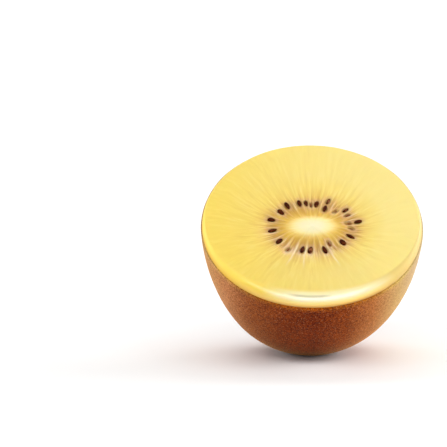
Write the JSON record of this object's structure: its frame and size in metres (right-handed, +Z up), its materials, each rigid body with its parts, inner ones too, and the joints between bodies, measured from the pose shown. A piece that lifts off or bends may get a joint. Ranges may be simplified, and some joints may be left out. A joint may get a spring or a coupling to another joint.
{
  "type": "golden kiwi fruit half",
  "caption": "Fruit half cut across: flat yellow face with a pale oval core ringed by dark seeds, rounded cut edge, domed brown skin, tilted on a small flat spot.",
  "frame": {"origin": "on the surface that the fruit stands on, in the small flat spot of its skin", "axes": "+Z up; the cut face looks up and forward to -Y, its normal 39 degrees off vertical; +X is along the cut's width and the core's long way"},
  "size_m": [0.0539, 0.052, 0.0504],
  "materials": {
    "skin": "matte",
    "flesh": "gloss",
    "core": "satin",
    "seed": "gloss",
    "stem_scar": "matte"
  },
  "bodies": {
    "root": {"kiwi_half": "skin"}
  },
  "joints": []
}
